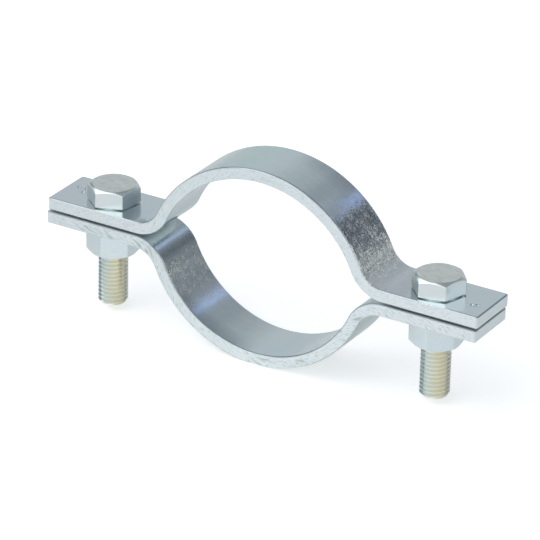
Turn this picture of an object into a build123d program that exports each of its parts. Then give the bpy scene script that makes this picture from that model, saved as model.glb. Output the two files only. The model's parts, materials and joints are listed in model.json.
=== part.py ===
from build123d import *
import math
import os

# Two-bolt pipe clamp, closed with no pipe in it: two bent flat bars, two hexagon bolts and two nuts.
# The origin is the middle of the pipe opening, halfway between the ears. X runs from the left ear
# to the right one, Y runs along the pipe, away from the front edges, and Z points to the bolt heads.

# Pipe seat. Each half is an arc of the pipe's radius, but the centre of the arc lies beyond the
# split, so that the ears still stand apart once a pipe fills the seat and the bolts can pull.
seat_radius = 45.75
seat_centre_offset = 9.1

# Flat bar that both halves are bent from
strap_thickness = 5.0
strap_width = 25.0
ear_beyond_hole = 23.3
bend_radius = 10.6
corner_radius = 1.0
edge_break = 0.35

# How the halves lie on each other: the gap between the ears, and how far the lower half
# has slipped to the left of the upper one within the play of the bolt holes
ear_gap = 1.0
half_slip = 0.6

# Bolts, threaded up to the head, which sits on the upper ears
bolt_spacing = 147.4
bolt_diameter = 12.0
bolt_length = 44.0
bolt_end_chamfer = 1.1
hole_clearance = 0.75

# Hexagon heads and nuts, made for the same spanner
across_flats = 19.0
head_height = 7.5
head_collar_height = 0.5
nut_height = 10.8
turned_face_diameter = 17.6
corner_chamfer_angle = 30.0
thread_clearance = 0.05
countersink_depth = 0.6

# Turn of each hexagon about its bolt, from +X to the next corner, as the spanner left it
head_turn = {"left": 20.7, "right": 12.7}
nut_turn = {"left": 34.0, "right": 35.0}

# Places that follow from the sizes above
ear_underside = ear_gap / 2
ear_top = ear_underside + strap_thickness
ear_end = bolt_spacing / 2 + ear_beyond_hole
bolt_x = {"left": -bolt_spacing / 2, "right": bolt_spacing / 2}
bolt_hole_radius = bolt_diameter / 2 + hole_clearance
bore_radius = bolt_diameter / 2 + thread_clearance
hexagon_corner_radius = across_flats / math.sqrt(3)
corner_cut_across = hexagon_corner_radius - turned_face_diameter / 2
corner_cut_down = corner_cut_across * math.tan(math.radians(corner_chamfer_angle))


def strap_outline():
    """Side view of the upper half: an arc over the pipe that bends out into a flat ear each side.

    The centre of the bend is one seat radius, one thickness and one bend radius away from the
    centre of the seat, so the two arcs meet in line, at the angle where the bar leaves the pipe.
    """
    bend_z = ear_top + bend_radius
    rise = bend_z + seat_centre_offset
    bend_x = math.sqrt((seat_radius + strap_thickness + bend_radius) ** 2 - rise**2)
    leave_angle = math.degrees(math.atan2(rise, bend_x))
    sweep = 90 - leave_angle

    with BuildLine(Plane.XZ) as outline:
        for raised in (0, strap_thickness):
            CenterArc((0, -seat_centre_offset), seat_radius + raised, leave_angle, sweep)
            inside = bend_radius + strap_thickness - raised
            CenterArc((bend_x, bend_z), inside, leave_angle + 180, sweep)
            Line((bend_x, ear_underside + raised), (ear_end, ear_underside + raised))
        Line((ear_end, ear_underside), (ear_end, ear_top))
        mirror(about=Plane.YZ)
    return outline.line


def bent_strap():
    """The upper half, centred on X = 0: the outline as wide as the bar, edges broken, drilled."""
    side_view = make_face(strap_outline().edges())
    strap = extrude(side_view, strap_width / 2, dir=(0, 1, 0), both=True)
    strap = fillet(strap.edges().filter_by(Axis.Z), corner_radius)
    cut_faces = strap.faces().filter_by(Axis.Y) + strap.faces().filter_by(Axis.X)
    rims = cut_faces.edges().filter_by(Axis.Z, reverse=True)
    strap = chamfer(rims, edge_break)
    for x in bolt_x.values():
        strap -= Pos(x, 0, 0) * Cylinder(bolt_hole_radius, 4 * ear_top)
    return strap


def rod(radius, length):
    """Round bar that stands on Z = 0."""
    return Pos(0, 0, length / 2) * Cylinder(radius, length)


def turned_hexagon(height, cut_both_ends):
    """Hexagon bar standing on Z = 0, its corners turned off by a cone on top or on both ends."""
    blank = extrude(RegularPolygon(across_flats / 2, 6, major_radius=False), height)
    round_bar = rod(hexagon_corner_radius, height)
    rims = round_bar.edges().filter_by(GeomType.CIRCLE).sort_by(Axis.Z)
    cut_rims = rims if cut_both_ends else rims[-1:]
    return blank & chamfer(cut_rims, corner_cut_down, corner_cut_across)


def hexagon_bolt(turn):
    """Bolt standing on its seat at Z = 0: collar and head above, threaded shank below."""
    collar = rod(turned_face_diameter / 2, head_collar_height)
    head = turned_hexagon(head_height - head_collar_height, cut_both_ends=False)
    shank = rod(bolt_diameter / 2, bolt_length)
    tip = shank.edges().filter_by(GeomType.CIRCLE).sort_by(Axis.Z)[0]
    shank = chamfer(tip, bolt_end_chamfer)
    bolt = Pos(0, 0, -bolt_length) * shank + collar + Pos(0, 0, head_collar_height) * head
    return Rot(0, 0, turn) * bolt


def hexagon_nut(turn):
    """Nut hanging below its seat at Z = 0, bored for the bolt and countersunk at both faces."""
    nut = turned_hexagon(nut_height, cut_both_ends=True) - rod(bore_radius, nut_height)
    bore_rims = nut.edges().filter_by(GeomType.CIRCLE).sort_by(SortBy.RADIUS)[:2]
    nut = chamfer(bore_rims, countersink_depth)
    return Rot(0, 0, turn) * Pos(0, 0, -nut_height) * nut


def clamp_parts():
    """Every piece where it lies in the closed clamp, by name."""
    strap = bent_strap()
    parts = {
        "upper_strap": Pos(half_slip / 2, 0, 0) * strap,
        "lower_strap": Pos(-half_slip / 2, 0, 0) * Rot(180, 0, 0) * strap,
    }
    for side, x in bolt_x.items():
        parts[side + "_bolt"] = Pos(x, 0, ear_top) * hexagon_bolt(head_turn[side])
        parts[side + "_nut"] = Pos(x, 0, -ear_top) * hexagon_nut(nut_turn[side])
    return parts


os.makedirs("parts", exist_ok=True)
for name, part in clamp_parts().items():
    export_step(part, "parts/" + name + ".step")
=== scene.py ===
# %% [markdown]
# # A two-bolt pipe clamp in bright zinc
# Two lengths of flat bar are bent over a pipe and out into flat ears, and a hexagon bolt with its nut
# draws each pair of ears together. The solids give every size. This lesson dresses them: each piece is
# built again as a fine surface, with rounded edges, torn cuts and real threads, and gets its plating.
# All lengths are in metres, in the frame of the solids: X from the left ear to the right, Y along the
# pipe and away from the viewer, Z up towards the bolt heads.

# %% Load the solids
import json
import math

import bmesh
import bpy
import numpy as np
from mathutils import Matrix, Vector


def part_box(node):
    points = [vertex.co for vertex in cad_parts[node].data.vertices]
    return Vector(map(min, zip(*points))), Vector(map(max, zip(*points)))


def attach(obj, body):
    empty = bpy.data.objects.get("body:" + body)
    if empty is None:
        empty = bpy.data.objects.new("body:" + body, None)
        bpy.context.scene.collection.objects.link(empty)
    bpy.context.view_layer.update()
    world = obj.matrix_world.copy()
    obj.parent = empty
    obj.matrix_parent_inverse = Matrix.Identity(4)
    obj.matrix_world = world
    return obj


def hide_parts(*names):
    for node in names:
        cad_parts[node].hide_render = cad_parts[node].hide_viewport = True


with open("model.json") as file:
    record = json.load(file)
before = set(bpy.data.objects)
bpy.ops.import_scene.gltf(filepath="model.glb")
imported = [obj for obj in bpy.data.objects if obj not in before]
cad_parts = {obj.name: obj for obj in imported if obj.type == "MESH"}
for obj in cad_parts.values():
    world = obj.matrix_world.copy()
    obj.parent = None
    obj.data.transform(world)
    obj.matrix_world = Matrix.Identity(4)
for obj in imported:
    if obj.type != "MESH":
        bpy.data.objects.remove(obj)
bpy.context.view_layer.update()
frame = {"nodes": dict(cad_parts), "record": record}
print("solids:", sorted(frame["nodes"]))

# %% [markdown]
# ## Sizes
# Nothing is measured twice. The mounts in the record give the seat, the bolt and the spacing, and the
# boxes of the solids give the bar's width and thickness and where the ears and the crown lie. Only the
# sizes that no box shows, such as a bend radius, are named here again, and so are the angles, in
# degrees, at which the spanner left the heads and the nuts.

# %% Sizes read from the frame
MM = 0.001
mounts = {mount["name"]: mount["dims"] for mount in frame["record"]["mounts"]}
seat_radius = mounts["pipe_seat"]["r_mm"] * MM
bolt_spacing = mounts["bolt_ends"]["spacing_x_mm"] * MM
bolt_radius = mounts["bolt_ends"]["stud_r_mm"] * MM

strap_low, strap_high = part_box("upper_strap")
nut_low, nut_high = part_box("left_nut")
bolt_low, bolt_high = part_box("left_bolt")
ear_underside = strap_low.z
ear_top = -nut_high.z
bar_thickness = ear_top - ear_underside
bar_width = strap_high.y - strap_low.y
ear_end = (strap_high.x - strap_low.x) / 2
side_slip = (strap_high.x + strap_low.x) / 2
seat_drop = seat_radius + bar_thickness - strap_high.z
nut_height = nut_high.z - nut_low.z
head_height = bolt_high.z - ear_top
bolt_length = ear_top - bolt_low.z

bend_radius = 10.6 * MM
corner_radius = 1.0 * MM
hole_radius = 6.75 * MM
across_flats = 19.0 * MM
turned_radius = 8.8 * MM
collar_height = 0.5 * MM
thread_pitch = 1.75 * MM
head_turn = {"left": 20.7, "right": 12.7}
nut_turn = {"left": 34.0, "right": 35.0}
print("bar", round(bar_width / MM, 2), "x", round(bar_thickness / MM, 2), "mm")

# %% [markdown]
# ## From straight bar to bent bar
# The maker starts from a straight bar and bends it, and so does this script. Every point of a strap is
# first placed on the straight bar, by how far along, across and out from the middle it lies. One
# function then carries it round the seat, round the bend and out along the ear. Holes and cut edges are
# easy to draw on a straight bar, and they keep their true shape through the bends.

# %% The bend, worked out from the sizes
seat_middle = seat_radius + bar_thickness / 2
bend_middle = bend_radius + bar_thickness / 2
bend_z = ear_top + bend_radius
bend_rise = bend_z + seat_drop
bend_x = math.sqrt((seat_middle + bend_middle) ** 2 - bend_rise**2)
bend_turn = math.atan2(bend_x, bend_rise)
seat_run = seat_middle * bend_turn
bend_run = bend_middle * bend_turn
ear_start = seat_run + bend_run
bar_half = ear_start + ear_end - bend_x
hole_along = ear_start + bolt_spacing / 2 - bend_x


def bend_bar(along, across, out):
    """Point of the bent bar for a point of the straight one, in whole arrays.

    On the seat the point turns about the seat's centre by (along / middle radius). On the bend it
    turns back by the same rule about the bend's centre, which lies outside. On the ear it moves
    straight on. out is measured from the middle of the thickness, away from the pipe.
    """
    run = np.abs(along)
    on_seat = run < seat_run
    on_bend = run < ear_start
    seat_angle = np.minimum(run, seat_run) / seat_middle
    bend_angle = bend_turn - np.clip(run - seat_run, 0, bend_run) / bend_middle
    seat_x = (seat_middle + out) * np.sin(seat_angle)
    seat_z = (seat_middle + out) * np.cos(seat_angle) - seat_drop
    turn_x = bend_x - (bend_middle - out) * np.sin(bend_angle)
    turn_z = bend_z - (bend_middle - out) * np.cos(bend_angle)
    ear_x = bend_x + run - ear_start
    ear_z = bend_z - bend_middle + out
    x = np.select([on_seat, on_bend], [seat_x, turn_x], ear_x)
    z = np.select([on_seat, on_bend], [seat_z, turn_z], ear_z)
    return np.stack([np.sign(along) * x, across + 0 * x, z], axis=-1)


print("straight bar:", round(2 * bar_half / MM, 1), "mm long")

# %% [markdown]
# ## Rounded corners
# No real edge is perfectly sharp, and it is the small curve at an edge that catches the light. So the
# corners of each profile are cut back and a short curve takes their place. A bevel modifier could do
# this too, but here the curve is part of the grid, so its rows lie exactly where the light needs them.

# %% Rounded corners of a profile
CURVE_STEPS = (0.0, 0.3, 0.7, 1.0)
SUPPORT = 1.5


def soften(corners, cuts):
    """Rounds each inner corner of a line of points by a curve that starts and ends cut away from it.

    The curve is (1-t)^2 start + 2t(1-t) corner + t^2 end. One more point stands on each side, so that
    the shading of the flat beside it stays flat. corners has the shape (points, ..., coordinates).
    """
    rows = [corners[0]]
    for before, corner, after, cut in zip(corners[:-2], corners[1:-1], corners[2:], cuts):
        back = before - corner
        ahead = after - corner
        back = back / np.linalg.norm(back, axis=-1, keepdims=True)
        ahead = ahead / np.linalg.norm(ahead, axis=-1, keepdims=True)
        start = corner + cut * back
        end = corner + cut * ahead
        rows.append(corner + SUPPORT * cut * back)
        for t in CURVE_STEPS:
            rows.append((1 - t) ** 2 * start + 2 * t * (1 - t) * corner + t**2 * end)
        rows.append(corner + SUPPORT * cut * ahead)
    rows.append(corners[-1])
    return np.array(rows)


print("rows for each rounded corner:", len(CURVE_STEPS) + 2)

# %% [markdown]
# ## Smooth noise
# Sheared metal is irregular, but not rough like sand: its marks swell and fade. Such marks come from a
# table of random heights, one for each pair of whole numbers, with a smooth step between neighbours.
# The table has a fixed seed, so the same marks come back each time. The texture nodes have noise as
# well, but marks that are pushed into a mesh must be worked out here, with the mesh.

# %% Smooth steps and smooth noise
TABLE_SIZE = 256


def ease(value, low, high):
    """Goes from 0 at low to 1 at high, level at both ends: 3t^2 - 2t^3 of the share t of the way."""
    t = np.clip((value - low) / (high - low), 0, 1)
    return t * t * (3 - 2 * t)


def smooth_noise(u, v, seed):
    """Random heights from 0 to 1: one for each pair of whole numbers, eased in between.

    The four heights round a place are mixed, first along u and then along v, each time by the eased
    share of the way.
    """
    table = np.random.default_rng(seed).random((TABLE_SIZE, TABLE_SIZE))
    u_cell = np.floor(u).astype(int)
    v_cell = np.floor(v).astype(int)
    u_share = ease(u, u_cell, u_cell + 1)
    v_share = ease(v, v_cell, v_cell + 1)

    def corner(right, up):
        """Height of the table at one of the four corners round each place."""
        return table[(u_cell + right) % TABLE_SIZE, (v_cell + up) % TABLE_SIZE]

    low = corner(0, 0) * (1 - u_share) + corner(1, 0) * u_share
    high = corner(0, 1) * (1 - u_share) + corner(1, 1) * u_share
    return low * (1 - v_share) + high * v_share


sample = smooth_noise(np.linspace(0, 60, 600), np.zeros(600), 1)
print("noise runs from", round(float(sample.min()), 2), "to", round(float(sample.max()), 2))

# %% [markdown]
# ## From grids to one closed skin
# Each piece is a few grids of points. A grid is a surface with two parameters, such as the way along
# an outline and the way over its edge. Each point keeps its place on the straight bar, or on the
# lathe, as the piece's UV map, so that streaks and tears follow the metal. It also has four traits
# that the finishes read: how far its colour is darkened, by dull nicks and by painted shade, how
# gritty, how matt and how green.

# %% A grid with its traits
TRAITS = ("dull_and_shade", "grit", "matt", "green")


def patch(points, flat, finish=0, dull_and_shade=0):
    """A grid of points, its place on the straight bar or lathe, its finish, its dull nicks and painted
    shade.
    """
    size = points.shape[:2]
    grid = {trait: np.zeros(size) for trait in TRAITS}
    grid["points"] = points
    grid["flat"] = flat + np.zeros(size + (2,))
    grid["finish"] = finish
    grid["dull_and_shade"] = dull_and_shade + np.zeros(size)
    return grid


print("traits of each point:", ", ".join(TRAITS))

# %% [markdown]
# ## Welding
# A bent bar or a forged head is one closed piece of metal, so its skin must be closed too. The grids
# of a piece share the points along their seams, and a weld merges them. Merge by Distance does the
# same by hand. The number of open edges is printed for each piece, because a closed skin has none.

# %% Weld the seams
WELD_REACH = 2e-6


def weld(mesh):
    """Merges points that all but touch, drops faces that this leaves without area, turns all outwards."""
    work = bmesh.new()
    work.from_mesh(mesh)
    bmesh.ops.remove_doubles(work, verts=work.verts, dist=WELD_REACH)
    bmesh.ops.dissolve_degenerate(work, edges=work.edges, dist=WELD_REACH / 4)
    bmesh.ops.recalc_face_normals(work, faces=work.faces)
    open_edges = sum(not edge.is_manifold for edge in work.edges)
    work.to_mesh(mesh)
    work.free()
    print(mesh.name, len(mesh.polygons), "faces,", open_edges, "open edges")


print("points closer than", WELD_REACH / MM, "mm are merged")

# %% [markdown]
# ## Joining the grids of a piece
# The grids could be objects of their own, joined in the editor. Here their points go into one list,
# and each face is four numbers of points in it, because whole arrays are fast and every point brings
# its traits along. The shading is smooth, and only edges that turn by more than a set angle stay
# crisp, as on metal that has been machined.

# %% Build a piece from its grids
SHARP_ANGLE = 40


def build_piece(name, patches, finishes, sharp_angle=SHARP_ANGLE):
    """Joins the grids of a piece into one closed mesh: quads first, then a weld of all shared points."""
    faces = []
    finish_of_face = []
    start = 0
    for grid in patches:
        rows, columns = grid["points"].shape[:2]
        corner = start + np.arange(rows - 1)[:, None] * columns + np.arange(columns - 1)
        quads = np.stack([corner, corner + 1, corner + columns + 1, corner + columns], axis=-1)
        faces.append(quads.reshape(-1, 4))
        finish_of_face.append(np.full(len(faces[-1]), grid["finish"]))
        start += rows * columns
    faces = np.concatenate(faces)
    points = np.concatenate([grid["points"].reshape(-1, 3) for grid in patches])
    flat = np.concatenate([grid["flat"].reshape(-1, 2) for grid in patches])

    mesh = bpy.data.meshes.new(name)
    mesh.from_pydata(points.tolist(), [], faces.tolist())
    mesh.polygons.foreach_set("material_index", np.concatenate(finish_of_face))
    layer = mesh.uv_layers.new(name="straight")
    layer.data.foreach_set("uv", flat[faces.ravel()].astype(np.float32).ravel())
    for trait in TRAITS:
        values = np.concatenate([grid[trait].ravel() for grid in patches]).astype(np.float32)
        mesh.attributes.new(trait, "FLOAT", "POINT").data.foreach_set("value", values)
    for finish in finishes:
        mesh.materials.append(finish)
    weld(mesh)
    mesh.shade_smooth()
    mesh.set_sharp_from_angle(angle=math.radians(sharp_angle))
    piece = bpy.data.objects.new(name, mesh)
    bpy.context.scene.collection.objects.link(piece)
    return piece


print("edges that turn by more than", SHARP_ANGLE, "degrees stay crisp")

# %% [markdown]
# ## The outline of the straight bar
# Seen flat, the bar is a long rectangle with its four corners just broken. The outline is sampled in
# small steps, because its cut edges carry fine tears. Two cut lines across the bar, just inside the
# bolts, split the face into a plain middle and two ears, so their samples fall on both long sides.

# %% Outline with its outward directions
SAMPLE = 0.45 * MM
EAR_FACE_REACH = 12 * MM
ARC_POINTS = 8
half_width = bar_width / 2
cut_along = hole_along - EAR_FACE_REACH
side_middle = np.linspace(-cut_along, cut_along, int(2 * cut_along / SAMPLE))
side_outer = np.linspace(cut_along, bar_half - corner_radius, int((bar_half - cut_along) / SAMPLE))
side = np.concatenate([-side_outer[::-1], side_middle[1:-1], side_outer])
end = np.linspace(-half_width + corner_radius, half_width - corner_radius, int(bar_width / SAMPLE))


def corner_arc(along_sign, across_sign, first_angle):
    """Inner points of a quarter circle round one corner of the bar, with their outward directions.

    The direction is (cos a, sin a), and the point is the middle of the arc plus the corner radius
    times the direction.
    """
    angle = np.radians(first_angle + np.linspace(0, 90, ARC_POINTS)[1:-1])
    away = np.stack([np.cos(angle), np.sin(angle)], axis=-1)
    middle = [along_sign * (bar_half - corner_radius), across_sign * (half_width - corner_radius)]
    return middle + corner_radius * away, away


def straight_edge(points, away):
    """A straight stretch of the outline, with the same outward direction all along."""
    return points, np.zeros_like(points) + away


stretches = [
    straight_edge(np.stack([side, 0 * side - half_width], axis=-1), (0, -1)),
    corner_arc(1, -1, -90),
    straight_edge(np.stack([0 * end + bar_half, end], axis=-1), (1, 0)),
    corner_arc(1, 1, 0),
    straight_edge(np.stack([side[::-1], 0 * side + half_width], axis=-1), (0, 1)),
    corner_arc(-1, 1, 90),
    straight_edge(np.stack([0 * end - bar_half, end[::-1]], axis=-1), (-1, 0)),
    corner_arc(-1, -1, 180),
]
outline = np.concatenate([stretch[0] for stretch in stretches])
outline_away = np.concatenate([stretch[1] for stretch in stretches])
outline = np.concatenate([outline, outline[:1]])
outline_away = np.concatenate([outline_away, outline_away[:1]])
outline_run = np.concatenate([[0], np.cumsum(np.linalg.norm(np.diff(outline, axis=0), axis=1))])
print("outline:", len(outline), "points,", round(outline_run[-1] / MM), "mm round")

# %% [markdown]
# ## The profile over a cut edge
# The long edges of such a bar are sheared. The blade rolls the first edge over, cuts the next part of
# the thickness and tears the rest. So the rounding on the blade's side is wide and shallow, a quarter
# ellipse twice as wide as it is deep, and the other edge has a small even rounding.

# %% Rows over the edge
EDGE_DROP = 0.4 * MM
PLAIN_REACH = 0.4 * MM
ROLLED_REACH = 0.8 * MM
FACE_INSET = 0.95 * MM
ROUNDING_ROWS = 7
WALL_ROWS = 22


def edge_profile(rolled):
    """How far in from the outline, and how far out from the middle, for each row over the edge.

    From the outer face down to the inner one: a support row, a quarter ellipse, the wall in equal
    steps, a quarter ellipse and a support row. The wide ellipse is on the outer side where rolled is
    1, and on the inner side where it is -1.
    """
    half = bar_thickness / 2
    top = np.radians(np.linspace(0, 90, ROUNDING_ROWS))
    bottom = top[::-1]
    top_reach = ROLLED_REACH if rolled > 0 else PLAIN_REACH
    bottom_reach = PLAIN_REACH if rolled > 0 else ROLLED_REACH
    wall = np.linspace(half - EDGE_DROP, -half + EDGE_DROP, WALL_ROWS)[1:-1]
    inset = [
        [FACE_INSET],
        top_reach * (1 - np.sin(top)),
        0 * wall,
        bottom_reach * (1 - np.sin(bottom)),
        [FACE_INSET],
    ]
    out = [
        [half],
        half - EDGE_DROP * (1 - np.cos(top)),
        wall,
        -half + EDGE_DROP * (1 - np.cos(bottom)),
        [-half],
    ]
    return np.concatenate(inset), np.concatenate(out)


print("rows over the edge:", len(edge_profile(1)[0]))

# %% [markdown]
# ## Tears
# The torn part of a sheared edge shows as slanting nicks. They could be painted, but the larger ones
# catch the light at their sides, so they are real dents in the mesh: noise stretched along a slanting
# line, of which only the crests count. A second, broader noise gathers them in bunches.

# %% Slanting nicks
WAVER_LONG = 4 * MM
WAVER_SHORT = 2.5 * MM
WAVER_SHARE = 1.6
BUNCH_LONG = 7 * MM
CREST_FROM = 0.74
CREST_FULL = 1.04


def tears(run, out, torn):
    """Nicks from 0 to 1: the crests of noise stretched along a line that leans and wavers.

    u is the way along the slanting line and v the way across it. Half of a broader noise is added,
    so that the nicks come in bunches with clean stretches between. The 9 and the 3 only pick other
    rows of the noise than the nicks use.
    """
    seed = torn["seed"]
    slant = math.radians(torn["lean"])
    waver = smooth_noise(run / WAVER_LONG, out / WAVER_SHORT + 9, seed + 3) - 0.5
    u = (run * math.cos(slant) + out * math.sin(slant)) / torn["long"]
    v = (out * math.cos(slant) - run * math.sin(slant)) / torn["short"] + WAVER_SHARE * waver
    bunches = smooth_noise(run / BUNCH_LONG, 0 * out + 3, seed + 1)
    return ease(smooth_noise(u, v, seed) + 0.5 * (bunches - 0.5), CREST_FROM, CREST_FULL)


fine_tears = {"lean": 20, "long": 2.5 * MM, "short": 0.5 * MM, "depth": 0.05 * MM, "seed": 11}
fine_tears |= {"zone": (-2.0 * MM, 1.2 * MM), "tone": 0.15, "hairs": 0.45, "rolled": 1}
coarse_tears = {"lean": 24, "long": 5.5 * MM, "short": 0.46 * MM, "depth": 0.12 * MM, "seed": 23}
coarse_tears |= {"zone": (-1.2 * MM, 2.2 * MM), "tone": 0.5, "hairs": 0.75, "rolled": -1}
for torn in (fine_tears, coarse_tears):
    zone = np.linspace(*torn["zone"], 20)
    deepest = tears(outline_run[:, None], zone[None, :], torn).max() * torn["depth"]
    print("nicks up to", round(float(deepest) / MM, 3), "mm deep")

# %% [markdown]
# ## The wall of the cut edge
# The wall runs once round the bar. Its nicks keep to a ragged zone of the thickness, and to the long
# sides, because the short ends were cropped clean. The same numbers go along as traits: the finish
# darkens the nicks, where the plating is thin, paints shade on the rolled rounding as a dark line,
# and draws the finest lines where grit says so.

# %% The edge wall
RAGGED = 0.5 * MM
RAGGED_LONG = 2.5 * MM
# Strength of the painted shade along the rolled rounding
ROLL_PAINTED_SHADE = 0.65


def edge_wall(torn):
    """The wall round the whole bar: outline points moved in by inset and by the depth of the nicks.

    The nicks are eased out over the ends of their zone, the roundings and the bar's short ends.
    """
    half = bar_thickness / 2
    inset, out = edge_profile(torn["rolled"])
    run = outline_run[None, :]
    level = out[:, None]
    low, high = torn["zone"]
    ragged = RAGGED * (smooth_noise(run / RAGGED_LONG, 0 * level + 7, torn["seed"] + 2) - 0.5)
    above_low = ease(level + ragged, low, low + 0.4 * MM)
    below_high = 1 - ease(level + ragged, high - 0.3 * MM, high)
    on_wall = ease(half - EDGE_DROP - np.abs(level), 0, 0.3 * MM)
    long_side = 1 - ease(np.abs(outline[None, :, 0]), bar_half - 3 * MM, bar_half - 1.2 * MM)
    nick = tears(run, level, torn) * above_low * below_high * on_wall * long_side

    flat = outline[None] - outline_away[None] * (inset[:, None] + torn["depth"] * nick)[..., None]
    points = bend_bar(flat[..., 0], flat[..., 1], level + 0 * run)
    place = np.stack([run + 0 * level, level + 0 * run], axis=-1)

    # Painted shade: a dark line along the rolled rounding, a little lighter on the ears, where the
    # rounding mirrors the dark ceiling
    roll_shade_mask = ease(out * torn["rolled"], half - 1.4 * EDGE_DROP, half - 0.7 * EDGE_DROP)
    roll_shade_mask = roll_shade_mask * (1 - ease(inset, 0.3 * MM, ROLLED_REACH))
    on_ear = ease(np.abs(flat[..., 0]), ear_start - 3 * MM, ear_start + 4 * MM)
    tone = np.maximum(roll_shade_mask[:, None] * (ROLL_PAINTED_SHADE - 0.05 * on_ear), torn["tone"] * nick)

    first = int(np.argmax(inset == 0))
    last = len(inset) - int(np.argmax(inset[::-1] == 0))
    spans = [(0, first + 1, 0), (first, last, 1), (last - 1, len(inset), 0)]
    grids = [patch(points[a:b], place[a:b], finish, tone[a:b]) for a, b, finish in spans]
    for grid, (a, b, finish) in zip(grids, spans):
        grid["bar_place"] = flat[a:b]
    grids[1]["grit"] = grids[1]["grit"] + torn["hairs"] * long_side
    return grids


print("edge wall:", [grid["points"].shape[:2] for grid in edge_wall(fine_tears)], "points")

# %% [markdown]
# ## The middle of each face
# Between the two cut lines the rolled face of the bar is plain, so it is a net, bent with the bar. A
# plane with a Curve modifier would bend as well, but here the columns stand at the samples of the
# outline, so that the net and the edge share their points.

# %% The net of the middle
face_across = np.linspace(-half_width + FACE_INSET, half_width - FACE_INSET, 22)


def middle_face(level):
    """The net between the two cut lines, on the outer or the inner face."""
    along, across = np.meshgrid(side_middle, face_across)
    return patch(bend_bar(along, across, level + 0 * along), np.stack([along, across], axis=-1))


print("net of the middle:", len(face_across), "x", len(side_middle), "points")

# %% [markdown]
# ## Ears
# An ear is a flat tab with a drilled hole. Its face is a fan: lines run from the rim of the bolt hole
# to each point of the ear's border, so the hole is round and the border keeps its own shape. Cutting
# the hole with a Boolean would leave long thin faces there, which spoil the shading. On the upper ears
# the fan is fine enough to hold the dots of a centre punch, which are real dimples.

# %% Faces of the ears
HOLE_RIM = 0.5 * MM
DOT_DEPTH = 0.5 * MM
DOT_RING = 0.06 * MM


def ear_border(sign):
    """Closed border of an ear's face: the inset outline past the cut line, and back along the cut."""
    ring = (outline - FACE_INSET * outline_away)[:-1]
    count = len(ring)
    order = np.arange(count) if sign > 0 else np.roll(np.arange(count), -count // 2)
    inside = ring[order, 0] * sign >= cut_along - 1e-9
    stretch = ring[order[inside]]
    back = np.stack([0 * face_across + sign * cut_along, -sign * face_across], axis=-1)
    return np.concatenate([stretch, back[1:]])


def ear_fan(sign):
    """The ear's border, the middle of its hole, and the directions from there to the border."""
    border = ear_border(sign)
    middle = np.array([sign * hole_along, 0])
    return border, middle, (border - middle) / np.linalg.norm(border - middle, axis=1, keepdims=True)


def ear_face(sign, level, rows, dots=()):
    """The fan of one ear: points a share t of the way from the rim of the hole to the border.

    Punch dots are bowls of 1 mm radius, each with a low ring of metal pushed up round it.
    """
    border, middle, away = ear_fan(sign)
    t = np.linspace(0, 1, rows)[:, None, None]
    flat = (middle + (hole_radius + HOLE_RIM) * away) * (1 - t) + border * t
    rise = np.zeros(flat.shape[:2])
    for along, across in dots:
        reach = np.hypot(flat[..., 0] - middle[0] - along, flat[..., 1] - across) / MM
        rise = rise - DOT_DEPTH * (1 - ease(reach, 0.0, 1.0))
        rise = rise + DOT_RING * ease(reach, 0.6, 1.0) * (1 - ease(reach, 1.05, 1.6))
    out = level + math.copysign(1, level) * rise
    return patch(bend_bar(flat[..., 0], flat[..., 1], out), flat)


print("lines in the fan of an ear:", len(ear_border(1)))

# %% [markdown]
# ## Bolt holes
# The holes are drilled, and hardly show under the heads and the nuts until the clamp is opened. The
# wall of a hole has one column for each line of the fan, so wall and ear meet point by point and the
# weld can close the seam. A ready-made cylinder would have its points elsewhere.

# %% Wall of a bolt hole
RIM_CUT = 0.3 * MM


def hole_wall(sign):
    """The wall of a bolt hole, from face to face, with both rims softened.

    A point is the middle of the hole plus the row's radius times the direction of its line.
    """
    middle, away = ear_fan(sign)[1:]
    half = bar_thickness / 2
    wide = hole_radius + HOLE_RIM
    corners = np.array([[wide, half], [hole_radius, half], [hole_radius, -half], [wide, -half]])
    rows = soften(corners, [RIM_CUT] * 2)
    flat = middle + rows[:, None, :1] * away
    level = rows[:, None, 1] + 0 * flat[..., 0]
    return patch(bend_bar(flat[..., 0], flat[..., 1], level), flat, 1)


print("wall of a hole:", hole_wall(1)["points"].shape[:2], "points")

# %% [markdown]
# ## A whole strap and its skin
# The skin of rolled bar is uneven: gritty where the bend stretched it and greenish where the zinc ran
# thick, and painted shade darkens some places. Such places are laid out on the straight bar, as a list
# of rows. A row names a trait, the faces that get it, the two places across the bar between which it
# sets in, some places along the bar, and its amount at each of these. All of these places are in
# millimetres from the middle of the bar. Where rows overlap, the stronger one counts.

# %% All grids of a strap
PLAIN_EAR_ROWS = 8
DOTTED_EAR_ROWS = 56
WALL_FACES = ["outer", "cut", "inner"]
NET_FACES = ["outer", "inner"]
EAR_FACES = ["outer", "inner", "cut"]


def strap_patches(torn, dots, skin, side_of_z):
    """All grids of one strap, bent, and turned over for the lower one by a mirrored Z.

    What a row of the skin gives a point is the amount read off at the point's place along the bar,
    times its share across the bar. The larger of this and what is there already stays.
    """
    half = bar_thickness / 2
    grids = edge_wall(torn) + [middle_face(half), middle_face(-half)]
    for sign, ear_dots in zip((-1, 1), dots):
        grids.append(ear_face(sign, half, DOTTED_EAR_ROWS if ear_dots else PLAIN_EAR_ROWS, ear_dots))
        grids.append(ear_face(sign, -half, PLAIN_EAR_ROWS))
        grids.append(hole_wall(sign))
    for grid, face in zip(grids, WALL_FACES + NET_FACES + 2 * EAR_FACES):
        along, across = np.moveaxis(grid.get("bar_place", grid["flat"]), -1, 0) / MM
        for trait, where, sets_in, places, amounts in skin:
            if face in where:
                share = ease(across, *sets_in)
                grid[trait] = np.maximum(grid[trait], share * np.interp(along, places, amounts))
        x, y, z = np.moveaxis(grid["points"], -1, 0)
        grid["points"] = np.stack([x + side_of_z * side_slip, y, side_of_z * z], axis=-1)
    return grids


print("grids of a strap:", len(WALL_FACES + NET_FACES + 2 * EAR_FACES))

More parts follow.
